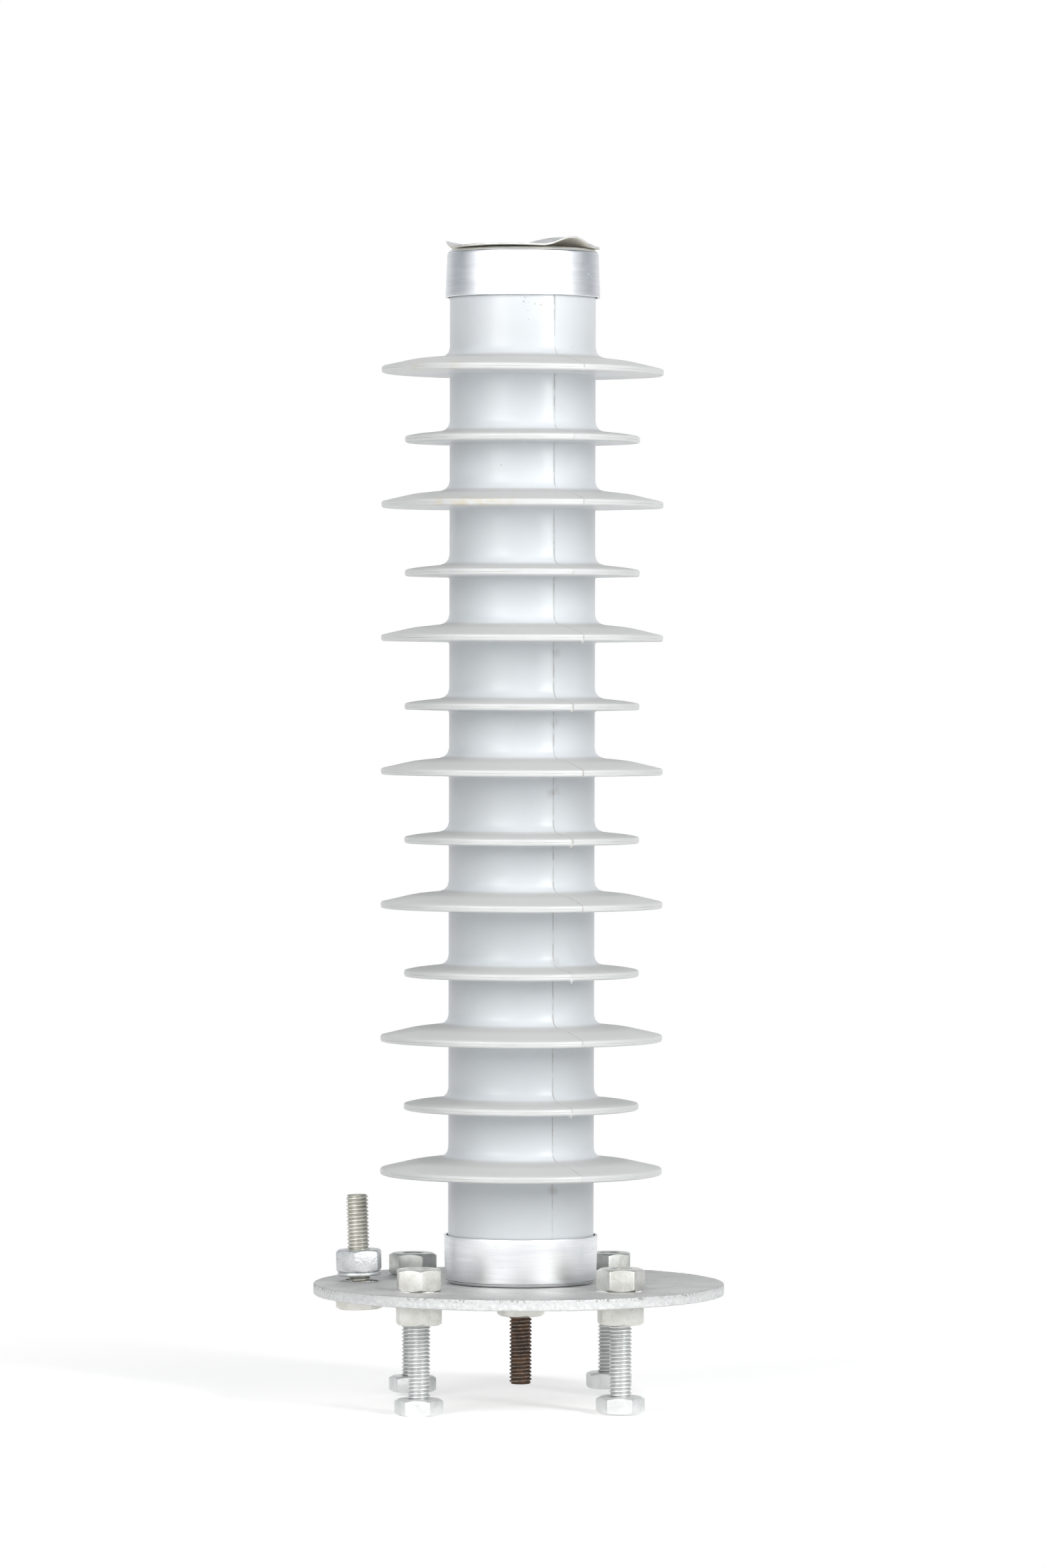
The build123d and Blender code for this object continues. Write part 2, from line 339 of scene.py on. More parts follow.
housing = {
    "sheds": 7, "tubeRadius": 27, "trunkRadius": 31, "endRound": 2,
    "largeReach": 29, "smallReach": 19, "smallSag": 0.74,
    "topSetback": 50.6, "bottomSetback": 46.38,
    "rim": 2.7, "rimRound": 1.0, "kneeReach": 15, "kneeRound": 45,
    "outerSlope": 13, "innerSlope": 6, "rootRound": 4.4, "underRise": 0.5, "underRound": 1.0,
    "grooveDepth": 0.13, "grooveWidth": 0.5,
    "evenColumns": 68, "stride": 4.5,  # columns in half a turn, and the longest run down the outline
    "seam": 25.3, "seamColumns": (0.16, 0.34, 0.6, 1.1, 2.0), "seamClear": 2.5,  # degrees
    "flashHeight": 0.42, "flashWidth": 0.34, "flashUneven": 0.45, "levelFlash": 0.45,
    "rimWave": 0.22, "waveStart": 2, "waveRun": 26, "wavePower": 1.3,
    "waveSize": 55, "waveFlat": (1, 1, 0.35),
    "topTilt": 0.58, "topShedDepth": 14, "tiltRun": 6,
    "tagLength": 1.1, "tagWidth": 0.4, "tagAbove": 0.3, "tagBelow": 2.2, "tagReach": 1.5,
    "tagged": (4, 5, 7, 9, 11),  # sheds with a flap of flash, counted from the top
    "pimpleRows": 7, "pimpleColumns": 10, "pimpleEnd": 80,
    "pimples": (  # azimuth, level and radius of small raised dots
        (1.2, 424.2, 0.45), (2.0, 422.6, 0.55), (1.0, 420.9, 0.5), (4.0, 417.2, 0.3), (4.6, 413.4, 0.35),
        (25.5, 395.5, 0.5), (-15, 360.5, 0.3),
    ),
}


def shedCorners(reach, level):
    h = housing
    trunk, half = h["trunkRadius"], h["rim"] / 2
    tip = trunk + reach
    knee = half + (reach - h["kneeReach"]) * math.tan(math.radians(h["outerSlope"]))
    root = knee + h["kneeReach"] * math.tan(math.radians(h["innerSlope"]))
    groove = h["grooveWidth"] / 2
    corners = [(trunk, root, h["rootRound"]), (trunk + h["kneeReach"], knee, h["kneeRound"])]
    corners += [(tip, half, h["rimRound"]), (tip, groove, 0), (tip - h["grooveDepth"], 0, 0)]
    corners += [(tip, -groove, 0), (tip, -half, h["rimRound"])]
    corners.append((trunk, -half - h["underRise"], h["underRound"]))
    return [(radius, level + height, rounding) for radius, height, rounding in corners]


def shedLevels():  # (reach, level) of every shed from the top down
    h = housing
    low, high = [corner.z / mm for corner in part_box("housing")]
    pitch = (high - low - h["topSetback"] - h["bottomSetback"]) / (h["sheds"] - 1)
    levels = []
    for index in range(h["sheds"]):
        large = high - h["topSetback"] - index * pitch
        levels.append((h["largeReach"], large))
        if index < h["sheds"] - 1:
            levels.append((h["smallReach"], large - pitch / 2 - h["smallSag"]))
    return levels


def nearSeam(azimuths):  # signed degrees to the nearer of the two mould seams
    return (np.asarray(azimuths) - housing["seam"] + 90) % 180 - 90


def pimple(azimuth, level, size):  # a small ball half sunk in the trunk
    h = housing
    rows = np.radians(np.linspace(-h["pimpleEnd"], h["pimpleEnd"], h["pimpleRows"]))[:, None]
    turns = evenAzimuths(h["pimpleColumns"])
    points = turnedPoints(size * np.cos(rows), size * np.sin(rows) + 0 * turns, turns)
    east, south = direction(azimuth)
    points = points + np.array([h["trunkRadius"] * east, h["trunkRadius"] * south, level])
    faces = gridFaces(*points.shape[:2]) + capFaces(*points.shape[:2])
    return points.reshape(-1, 3), faces


def housingLine():  # the outline from the top end down, as (radius, height)
    h = housing
    low, high = [corner.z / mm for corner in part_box("housing")]
    corners = [(h["tubeRadius"], high, 0), (h["trunkRadius"], high, h["endRound"])]
    for reach, level in shedLevels():
        corners += shedCorners(reach, level)
    corners += [(h["trunkRadius"], low, h["endRound"]), (h["tubeRadius"], low, 0)]
    return rounded(corners, 3, h["stride"])


def housingAzimuths():  # even columns, with closer ones at the two mould seams
    h = housing
    even = np.linspace(-90, 90, h["evenColumns"], endpoint=False)
    fine = np.array(h["seamColumns"])
    half = np.unique(np.round(np.concatenate([even[abs(even) > h["seamClear"]], fine, -fine, [0]]), 4))
    return np.sort(np.concatenate([half, half + 180]) + h["seam"])


def makeHousing():
    h = housing
    line, azimuths = housingLine(), housingAzimuths()
    radii, heights = line[:, :1], line[:, 1:]
    points = turnedPoints(radii, heights + 0 * azimuths, azimuths)

    # flash: a raised, uneven ridge along each seam, pushed out square to the outline
    run = np.roll(line, -1, axis=0) - np.roll(line, 1, axis=0)
    run[0], run[-1] = (1, 0), (1, 0)
    out = np.stack([-run[:, 1], run[:, 0]], axis=-1)
    out /= np.linalg.norm(out, axis=1, keepdims=True)
    arc = np.radians(nearSeam(azimuths)) * radii
    ridge = np.exp(-((arc / h["flashWidth"]) ** 2))
    uneven = 1 - h["flashUneven"] + h["flashUneven"] * lumps(points, 9, 4, 3)
    outer = (radii > h["tubeRadius"] + 1).astype(float)
    steep = h["levelFlash"] + (1 - h["levelFlash"]) * abs(out[:, :1])
    push = h["flashHeight"] * ridge * uneven * outer * steep
    east, south = direction(azimuths)
    points[..., 0] += push * out[:, :1] * east
    points[..., 1] += push * out[:, :1] * south
    points[..., 2] += push * out[:, 1:]

    # the sheds wave a little towards their rims, and the top one tilts
    beyond = radii - h["trunkRadius"]
    reachShare = np.clip((beyond - h["waveStart"]) / h["waveRun"], 0, 1) ** h["wavePower"]
    points[..., 2] += h["rimWave"] * reachShare * lumps(points * h["waveFlat"], h["waveSize"], 11)
    topShed = (abs(heights - shedLevels()[0][1]) < h["topShedDepth"]) & (beyond > 0.5)
    lean = np.clip(beyond / h["tiltRun"], 0, 1) * topShed
    points[..., 2] -= points[..., 0] * math.tan(math.radians(h["topTilt"])) * lean

    # a flap of flash hangs under some rims at the front seam
    front = np.exp(-((np.radians(azimuths - h["seam"]) * radii / h["tagWidth"]) ** 2))
    for number in h["tagged"]:
        reach, level = shedLevels()[number]
        under = (heights < level - h["tagAbove"]) & (heights > level - h["tagBelow"])
        points[..., 2] -= h["tagLength"] * front * (under & (beyond > reach - h["tagReach"]))

    rims = np.zeros_like(heights)
    for reach, level in shedLevels():
        atRim = (abs(heights - level) < 0.05) & (beyond > reach - 1)
        rims = np.maximum(rims, atRim)
    groove = rims * np.clip(0.4 + 0.9 * lumps(points, 14, 8, 3), 0, 1)
    mark = ridge * np.clip(0.5 + 0.8 * uneven, 0, 1) * outer
    faces = gridFaces(*points.shape[:2], closedRows=True)
    shells = [(points, faces)] + [pimple(*form) for form in h["pimples"]]
    rest = np.zeros(sum(len(shell[0]) for shell in shells[1:]))
    attributes = {"seamMark": np.append(mark, rest), "grooveMark": np.append(groove, rest)}
    return makePiece("silicone_housing", shells, 38, attributes)


cup = {
    "wall": 1.1, "height": 20.6, "hole": 5.25, "shoulder": 3.0, "rimRound": 0.35,
    "closedRadius": 32.15, "mouthRadius": 32.787, "columns": 168, "stride": 3.0,
    "outOfRound": 0.16, "dent": 0.05, "dentSize": 8, "rimBurr": 0.12, "rimBurrSize": 6, "rimDepth": 1.0,
}


def makeCup(name, closedLevel, up, seed):  # up is the way from the closed end to the mouth, 1 or -1
    c = cup
    thick = c["wall"]
    corners = [(c["hole"], 0, 0), (c["closedRadius"], 0, c["shoulder"]),
               (c["mouthRadius"], c["height"], c["rimRound"]),
               (c["mouthRadius"] - thick, c["height"], c["rimRound"]),
               (c["closedRadius"] - thick, thick, c["shoulder"] - thick), (c["hole"], thick, 0)]
    line = rounded(corners, 6, c["stride"])
    azimuths = evenAzimuths(c["columns"])
    radii, heights = line[:, :1], line[:, 1:]
    towardsMouth = np.clip(heights / c["height"], 0, 1)
    swell = c["outOfRound"] * towardsMouth * np.cos(np.radians(2 * azimuths + 50 * seed))
    dent = c["dent"] * lumps(turnedPoints(radii, heights + 0 * azimuths, azimuths), c["dentSize"], seed)
    outer = (radii > c["hole"] + 4).astype(float)
    points = turnedPoints(radii + (swell + dent) * outer, heights + 0 * azimuths, azimuths)
    burr = c["rimBurr"] * lumps(points, c["rimBurrSize"], seed + 3) * (heights > c["height"] - c["rimDepth"])
    points[..., 2] = closedLevel + up * (points[..., 2] + burr - abs(burr))
    return makePiece(name, [(points, gridFaces(*points.shape[:2], closedRows=True))], 40)


sheet = {
    "radius": 32.6, "thickness": 0.8, "bondRadius": 12, "bond": 0.05, "edgePower": 1.6, "edgeRound": 0.15,
    "lobes": ((41, 26, 3.7), (152, 62, 6.2), (-90, 34, 2.7), (-20, 50, 0.5)),  # azimuth, half width, lift
    "ripple": 0.14, "rippleSize": 7, "edgeBurr": 0.1, "burrSize": 2.2, "looseLift": 0.3,
    "rings": 34, "columns": 180, "firstRing": 0.4,
}


def makeSheet():
    s = sheet
    azimuths = evenAzimuths(s["columns"])
    rings = np.linspace(s["firstRing"], s["radius"] - s["edgeRound"], s["rings"])
    radii = np.concatenate([rings, [s["radius"], s["radius"]], rings[::-1]])[:, None]
    isTop = np.arange(len(radii))[:, None] < s["rings"] + 1
    thick = np.where(isTop, s["thickness"], 0.0)
    thick[s["rings"]], thick[s["rings"] + 1] = s["thickness"] - s["edgeRound"], s["edgeRound"]
    reach = np.clip(radii - s["bondRadius"], 0, None) / (s["radius"] - s["bondRadius"])
    lift = 0
    for middle, halfWidth, height in s["lobes"]:
        away = np.clip(abs((azimuths - middle + 180) % 360 - 180) / halfWidth, 0, 1)
        lift = lift + height * np.cos(away * np.pi / 2) ** 2
    lift = lift * reach ** s["edgePower"]
    points = turnedPoints(radii, 0 * lift, azimuths)
    ripple = s["ripple"] * lumps(points, s["rippleSize"], 21) * np.clip(lift, 0, 1)
    burr = s["edgeBurr"] * lumps(points, s["burrSize"], 5) * (reach > 0.98)
    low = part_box("top_cup")[1].z / mm + s["bond"]
    points[..., 2] = low + lift + np.where(lift > s["looseLift"], ripple + burr, 0) + thick
    faces = gridFaces(*points.shape[:2]) + capFaces(*points.shape[:2])
    return makePiece("cover_sheet", [(points, faces)], 45)


plate = {
    "radius": 87.5, "shift": -0.85, "thickness": 4.8, "studHole": 5.25, "boltHole": 5.25,
    "earthHole": 6.5, "earthHoleX": -67.35, "earthHoleY": 7.0, "inner": 80,
    "columns": 900, "holeColumns": 48, "holeEdge": 0.3, "edgeRound": 0.5, "stride": 0.9,
    "fineRun": 2.6, "middleRun": 4.4, "burrRun": 1.6,  # distances in from the edge
    "burr": 0.17, "burrClear": 0.6, "grainSize": 2.4, "broadSize": 11, "broadShare": 0.5, "deepest": 1.1,
    "pits": 0.616, "pitSize": 1.3, "pitFrom": 0.22, "pitDepth": 1.9,
    "faceBurr": 0.10, "faceGrain": 0.16, "faceDeepest": 0.3, "faceFrom": 1.8,
}


def fillWithHoles(build, outer, holes):  # a flat face with round holes in it
    edges = []
    for loop in [outer] + holes:
        pairs = zip(loop, loop[1:] + loop[:1])
        edges += [build.edges.get(pair) or build.edges.new(pair) for pair in pairs]
    bmesh.ops.triangle_fill(build, use_beauty=True, use_dissolve=False, edges=edges)


def joinLoops(build, first, second):  # a band of faces between two loops of vertices
    for k in range(len(first)):
        n = (k + 1) % len(first)
        build.faces.new((first[k], first[n], second[n], second[k]))


def plateEdge():  # rows of the worn, burred band round the plate, from its bottom face to its top face
    p = plate
    thick, edge = p["thickness"], p["radius"]
    azimuths = evenAzimuths(p["columns"])
    corners = [(p["inner"], 0, 0), (edge, 0, p["edgeRound"])]
    corners += [(edge, thick, p["edgeRound"]), (p["inner"], thick, 0)]
    line = rounded(corners, 3, p["stride"])
    inFromEdge = edge - line[:, 0]
    first, middle = abs(line[:, 0] - p["inner"]) < 0.01, abs(inFromEdge - p["middleRun"]) < 0.5
    line = line[(inFromEdge < p["fineRun"]) | first | middle]
    radii, heights = line[:, :1], line[:, 1:]
    points = turnedPoints(radii, heights + 0 * azimuths, azimuths)
    closeness = np.clip((radii - edge + p["burrRun"]) / p["burrRun"], 0, 1)
    grain = lumps(points, p["grainSize"], 31, 3)
    broad = lumps(points, p["broadSize"], 12)
    towardsTop = np.clip((heights - thick + p["pitDepth"]) / p["pitDepth"], 0, 1)
    pitted = np.clip(lumps(points, p["pitSize"], 44) - p["pitFrom"], 0, 1) * towardsTop
    inward = p["burr"] * (p["burrClear"] - grain - p["broadShare"] * broad) + p["pits"] * pitted
    shrink = np.clip(inward, 0, p["deepest"]) * closeness
    east, south = direction(azimuths)
    points[..., 0] -= shrink * east
    points[..., 1] -= shrink * south
    level = points[..., 2] - thick / 2
    sink = np.clip(p["faceBurr"] - p["faceGrain"] * grain, 0, p["faceDeepest"])
    points[..., 2] -= np.sign(level) * sink * closeness * (abs(level) > p["faceFrom"])
    points[..., 0] += p["shift"]
    return points


def makePlate():
    p = plate
    thick, soft = p["thickness"], p["holeEdge"]
    build = bmesh.new()
    rows = [[build.verts.new(Vector(q) * mm) for q in row] for row in plateEdge()]
    for upper, lower in zip(rows, rows[1:]):
        joinLoops(build, upper, lower)
    places = [(solid["x"], solid["y"], p["boltHole"]) for solid in solidsOf("mounting_bolts")]
    places += [(0, 0, p["studHole"]), (p["earthHoleX"], p["earthHoleY"], p["earthHole"])]
    turns = np.linspace(0, 2 * math.pi, p["holeColumns"], endpoint=False)
    bottomLoops, topLoops = [], []
    for x, y, radius in places:
        loops = []
        wall = (radius + soft, 0), (radius, soft), (radius, thick - soft), (radius + soft, thick)
        for wide, height in wall:
            ring = [(x + wide * math.cos(turn), y + wide * math.sin(turn), height) for turn in turns]
            loops.append([build.verts.new(Vector(q) * mm) for q in ring])
        for lower, upper in zip(loops, loops[1:]):
            joinLoops(build, lower, upper)
        bottomLoops.append(loops[0])
        topLoops.append(loops[-1])
    fillWithHoles(build, rows[0], bottomLoops)
    fillWithHoles(build, rows[-1], topLoops)
    bmesh.ops.recalc_face_normals(build, faces=build.faces)
    mesh = bpy.data.meshes.new("plate")
    build.to_mesh(mesh)
    build.free()
    return addSmooth("round_base_plate", mesh, 38)


thread = {"radius": 4.7625, "pitch": 1.5875, "depth": 0.78, "columns": 40, "perPitch": 8, "endBevel": 0.9,
          "sharpness": 1.28, "wearSize": 1.6, "weldGap": 1e-5}
hexagon = {
    "flat": 9.0, "cornerRound": 0.6, "edgeRound": 0.22,
    "chamfer": 30, "chamferRadius": 8.6, "chamferRound": 0.25,
    "lump": 0.05, "lumpSize": 3.0, "cornerSpan": 1.7, "centreHole": 0.5,
    "columns": (0, 0.85, 1.68, 6, 13, 21.5, 30),  # degrees from a corner to the middle of a side
    "countersink": 0.75, "sinkRound": 0.15, "boreGap": 0.06, "boreShare": 0.8, "boreRowsPerPitch": 6,
}


def threadWave(phase):  # 0 at the crest, 1 at the root, with rounded crests and roots
    ramp = abs((phase % 1) * 2 - 1)
    return 0.5 - 0.5 * np.sin(np.clip((ramp - 0.5) * thread["sharpness"], -0.5, 0.5) * math.pi)


def threadedRod(low, high, seed, wear=0.03, bevelLow=True):
    # a grid whose rows climb with the helix, so that its last column meets the first one a pitch higher
    t = thread
    rows = int((high - low) / t["pitch"] * t["perPitch"]) + t["perPitch"] + 3
    azimuths = np.arange(t["columns"]) / t["columns"]
    index = np.arange(rows)[:, None] / t["perPitch"] - 1
    heights = np.clip(low + (index + azimuths[None, :]) * t["pitch"], low, high)
    phase = (heights - low) / t["pitch"] - azimuths
    radii = t["radius"] - t["depth"] * threadWave(phase)
    limit = t["radius"] - t["endBevel"] + (high - heights)
    if bevelLow:
        limit = np.minimum(limit, t["radius"] - t["endBevel"] + (heights - low))
    radii = np.minimum(radii, limit)
    points = turnedPoints(radii, heights, azimuths * 360)
    worn = 1 + wear * lumps(points, t["wearSize"], seed, 2) / t["radius"]
    points[..., :2] *= worn[..., None]
    columns, perPitch = t["columns"], t["perPitch"]
    faces = []
    for row in range(rows - 1):
        for column in range(columns):
            if column < columns - 1:
                side = [row * columns + column, row * columns + column + 1]
                side += [(row + 1) * columns + column + 1, (row + 1) * columns + column]
            elif row + perPitch + 1 < rows:
                side = [row * columns + column, (row + perPitch) * columns]
                side += [(row + perPitch + 1) * columns, (row + 1) * columns + column]
            else:
                continue
            levels = heights.reshape(-1)[side]
            if levels.max() - levels.min() > 1e-9:
                faces.append(side)
    return closeEnds(points.reshape(-1, 3), faces)


def closeEnds(points, faces):  # merges the clamped ends of a thread and caps them
    build = bmesh.new()
    vertices = [build.verts.new(p) for p in points]
    for side in faces:
        build.faces.new([vertices[k] for k in side])
    bmesh.ops.remove_doubles(build, verts=build.verts, dist=thread["weldGap"])
    bmesh.ops.delete(build, geom=[v for v in build.verts if not v.link_faces], context="VERTS")
    rims = [edge for edge in build.edges if edge.is_boundary]
    bmesh.ops.holes_fill(build, edges=rims, sides=0)
    build.verts.index_update()
    result = [tuple(v.co) for v in build.verts], [[v.index for v in face.verts] for face in build.faces]
    build.free()
    return np.array(result[0]), result[1]


def hexRadii():  # azimuths from a corner, and the distance from the axis to a hexagon's side at each
    h = hexagon
    half = list(h["columns"])
    offsets = np.array(half + [60 - turn for turn in half[-2:0:-1]])
    away = np.concatenate([offsets + 60 * side for side in range(6)])
    local = np.radians((away + 30) % 60 - 30)
    centre = (h["flat"] - h["cornerRound"]) / math.cos(math.pi / 6)
    under = np.clip(h["cornerRound"] ** 2 - (centre * np.sin(local)) ** 2, 0, None)
    arcRadii = centre * np.cos(local) + np.sqrt(under)
    flatRadii = h["flat"] / np.cos(np.radians(away % 60 - 30))
    return away, np.where(abs(local) < math.radians(h["cornerSpan"]), arcRadii, flatRadii)


def hexShell(height, corner, seed, bore=None):
    # a hexagon with one corner at the azimuth corner; a nut has a threaded bore, a head has none
    h = hexagon
    away, sideRadii = hexRadii()
    slope = math.tan(math.radians(h["chamfer"]))
    sink, soft = h["countersink"], h["sinkRound"]
    columns = []
    for radius in sideRadii:
        drop = (radius - h["chamferRadius"]) * slope
        low = [(h["chamferRadius"], 0, h["chamferRound"]), (radius, drop, h["edgeRound"])]
        high = [(radius, height - drop, h["edgeRound"]), (h["chamferRadius"], height, h["chamferRound"])]
        if bore:
            start = [(bore, sink, 0), (bore + sink, 0, soft)]
            end = [(bore + sink, height, soft), (bore, height - sink, 0)]
        else:
            start, end = [(h["centreHole"], 0, 0)], [(h["centreHole"], height, 0)]
        columns.append(rounded(start + low + high + end, 2))
    table = np.array(columns).transpose(1, 0, 2)
    points = turnedPoints(table[..., 0], table[..., 1], away + corner)
    outside = table[..., 0] >= (bore or 0) + 0.9
    swell = 1 + h["lump"] * lumps(points, h["lumpSize"], seed, 2) / h["flat"] * outside
    points[..., :2] *= swell[..., None]
    if not bore:
        return points.reshape(-1, 3), gridFaces(*points.shape[:2]) + capFaces(*points.shape[:2])
    levels = np.arange(height - sink, sink, -thread["pitch"] / h["boreRowsPerPitch"])[1:]
    phase = levels[:, None] / thread["pitch"] - (away + corner)[None, :] / 360
    radii = bore + h["boreGap"] + thread["depth"] * h["boreShare"] * (1 - threadWave(phase))
    wall = turnedPoints(radii, levels[:, None] + 0 * radii, away + corner)
    points = np.concatenate([points, wall])
    return points.reshape(-1, 3), gridFaces(*points.shape[:2], closedRows=True)


washer = {"radius": 9.2, "bore": 5.0, "thickness": 1.8, "edgeShare": 0.45, "columns": 96,
          "unround": 0.012, "unroundSize": 3.2, "swell": 0.07, "swellSize": 3.0}


def washerShell(seed):
    w = washer
    azimuths, thick = evenAzimuths(w["columns"]), w["thickness"]
    edge = w["edgeShare"] * thick
    corners = [(w["bore"], 0, 0), (w["radius"], 0, edge), (w["radius"], thick, edge), (w["bore"], thick, 0)]
    line = rounded(corners, 4, 1.2)
    points = turnedPoints(line[:, :1], line[:, 1:] + 0 * azimuths, azimuths)
    points[..., :2] *= (1 + w["unround"] * lumps(points, w["unroundSize"], seed, 2))[..., None]
    points[..., 2] += w["swell"] * lumps(points, w["swellSize"], seed + 1, 2) * (line[:, 1:] > thick / 2)
    return points.reshape(-1, 3), gridFaces(*points.shape[:2], closedRows=True)


def shifted(shell, x, y, z):
    return np.asarray(shell[0]) + (x, y, z), shell[1]


def crests(*shells):  # 0 at a thread's root and 1 at its crest, before the shells are moved
    points = np.concatenate([np.asarray(shell[0]).reshape(-1, 3) for shell in shells])
    root = thread["radius"] - thread["depth"]
    return {"crest": np.clip((np.hypot(points[:, 0], points[:, 1]) - root) / thread["depth"], 0, 1)}


nutBore = thread["radius"] - thread["depth"] + 0.25
boltHead = {"height": 6.9, "overlap": 0.6}


def makeBolt(name, solid, seed):
    head = hexShell(boltHead["height"], solid["corner"], seed)
    start = boltHead["height"] - boltHead["overlap"]
    rod = threadedRod(start, solid["high"] - solid["low"], seed + 1, bevelLow=False)
    shells = [shifted(shell, solid["x"], solid["y"], solid["low"]) for shell in (head, rod)]
    return makePiece(name, shells, 34, crests(head, rod))


def makeNut(name, solid, seed):
    shell = hexShell(solid["high"] - solid["low"], solid["corner"], seed, bore=nutBore)
    return makePiece(name, [shifted(shell, solid["x"], solid["y"], solid["low"])], 34)


earth = {"lean": -1.7, "length": 42.0, "headTurn": -28, "nutTurn": -7.5, "nutHeight": 9.4}


def leaned(shell, node):
    turn = np.array(Matrix.Rotation(math.radians(earth["lean"]), 3, "Y"))
    return moveTo(np.asarray(shell[0]) @ turn.T, node), shell[1]


def makeEarthPieces():
    e = earth
    head = hexShell(boltHead["height"], e["headTurn"], 61)
    start = boltHead["height"] - boltHead["overlap"]
    rod = threadedRod(start, boltHead["height"] + e["length"], 62, bevelLow=False)
    count = len(head[0])
    together = np.concatenate([head[0], rod[0]])
    faces = head[1] + [[corner + count for corner in side] for side in rod[1]]
    bolt = makePiece("earth_terminal_bolt", [leaned((together, faces), "earth_bolt")], 34, crests(head, rod))
    nutShell = hexShell(e["nutHeight"], e["nutTurn"], 63, bore=nutBore)
    nut = makePiece("earth_terminal_nut", [leaned(nutShell, "earth_nut")], 34)
    disc = makePiece("earth_terminal_washer", [leaned(washerShell(64), "earth_washer")], 40)
    return bolt, nut, disc


beads = (  # zinc left round which hole, start and end azimuth, ring radius, thickness
    ("front_left", -80, -22, 9.9, 0.75), ("front_left", 8, 40, 10.1, 0.5),
    ("front_right", -78, -34, 9.9, 0.6), ("front_right", 36, 66, 10.0, 0.7),
    ("earth", -140, -40, 6.9, 0.8), ("earth", 5, 60, 7.0, 0.35),
)
bead = {"rows": 34, "columns": 12, "endTaper": 0.05, "width": 1.3, "height": 0.8,
        "rise": 0.35, "riseSize": 1.5, "sway": 0.3, "swaySize": 1.1}


def makeBead(name, x, y, level, start, end, ring, thick, seed):
    b = bead
    along = np.radians(np.linspace(start, end, b["rows"]))[:, None]
    around = np.linspace(0, 2 * math.pi, b["columns"], endpoint=False)[None, :]
    taper = np.sin(np.linspace(b["endTaper"], math.pi - b["endTaper"], b["rows"]))[:, None] ** 0.5
    radius = thick * taper
    reach = ring + radius * np.cos(around) * b["width"]
    heights = level + radius * np.sin(around) * b["height"] + 0 * along
    points = np.stack([x + reach * np.sin(along), y - reach * np.cos(along), heights], axis=-1)
    points[..., 2] += b["rise"] * lumps(points, b["riseSize"], seed, 2) * taper
    points[..., 0] += b["sway"] * lumps(points, b["swaySize"], seed + 1, 2) * taper
    faces = gridFaces(*points.shape[:2]) + capFaces(*points.shape[:2])
    return makePiece(name, [(points, faces)], 60)


silicone = {
    "pale": (0.722, 0.755, 0.782), "dull": (0.665, 0.692, 0.715), "warm": (0.60, 0.595, 0.58),
    "dirt": (0.30, 0.25, 0.20), "stain": (0.62, 0.52, 0.30), "rim": (0.695, 0.70, 0.69),
    "dullShare": 0.6, "warmShare": 0.85, "rimShare": 0.75, "seamShare": 0.62, "grooveShare": 0.45,
    "rimFrom": 0.042, "rimTo": 0.049,  # metres from the axis
    "roughness": 0.25, "cloudRoughness": 0.12, "topRoughness": 0.22,
    "spots": (  # x, y and level in mm, radius, colour and strength of small stains
        (13.5, -28, 214, 4.5, "dirt", 0.30), (14.0, -28, 142, 3.6, "dirt", 0.30),
        (13.6, -28, 46, 3.4, "dirt", 0.35), (13.8, -28, 244, 3.0, "dirt", 0.30),
        (14.5, -27.5, 273, 3.2, "dirt", 0.25),
        (-34, -49, 335, 8.0, "stain", 0.32), (-25, -54.5, 335, 8.0, "stain", 0.48),
        (-15, -58, 335, 8.0, "stain", 0.42), (-5, -60, 335, 7.0, "stain", 0.28),
        (-44, -40, 392.6, 7.0, "stain", 0.22), (-30, -52, 392.6, 7.0, "stain", 0.22),
        (37, -46, 333.6, 1.3, "dirt", 0.8), (2.5, -30.9, 420.6, 0.5, "dirt", 0.8),
        (5.0, -30.6, 419.8, 0.45, "dirt", 0.8), (7.6, -30.1, 419.4, 0.5, "dirt", 0.8),
        (5.6, -30.5, 405.2, 0.4, "dirt", 0.7), (21, -22.8, 402.0, 0.5, "dirt", 0.7),
        (24, -19.6, 398.5, 0.4, "dirt", 0.6), (-24, -19.6, 401, 0.4, "dirt", 0.6),
        (-9, -29.7, 352, 0.5, "dirt", 0.6),
    ),
}


def siliconeFinish():
    look = silicone
    f = Finish("grey_silicone_rubber", {"IOR": 1.42, "Specular IOR Level": 0.5})
    broad, fine = f.cloud(38), f.cloud(4, 4)
    base = f.mix(look["pale"], look["dull"], f.step(broad, 0.35, 0.72) * look["dullShare"])
    base = f.mix(base, look["warm"], f.step(f.upward, 0.75, 0.98) * look["warmShare"])
    base = f.mix(base, look["rim"], f.step(f.fromAxis(), look["rimFrom"], look["rimTo"]) * look["rimShare"])
    seam = f.step(f.attribute("seamMark"), 0.35, 0.95) * f.step(fine, 0.3, 0.55)
    base = f.mix(base, look["dirt"], seam * look["seamShare"])
    base = f.mix(base, look["dirt"], f.attribute("grooveMark") * look["grooveShare"])
    for x, y, z, radius, colour, amount in look["spots"]:
        mask = f.spot((x, y, z), radius, 0.9) * f.step(fine, 0.38, 0.6) * amount
        base = f.mix(base, look[colour], mask)
    top = f.step(f.upward, 0.7, 0.95)
    rough = look["roughness"] + look["cloudRoughness"] * f.cloud(9) + look["topRoughness"] * top
    normal = f.bump(f.cloud(1.4, 2), 0.10, 0.12)
    normal = f.bump(f.cloud(14, 2), 0.25, 0.35, normal)
    f.feed(colour=base, roughness=rough, normal=normal)
    return f


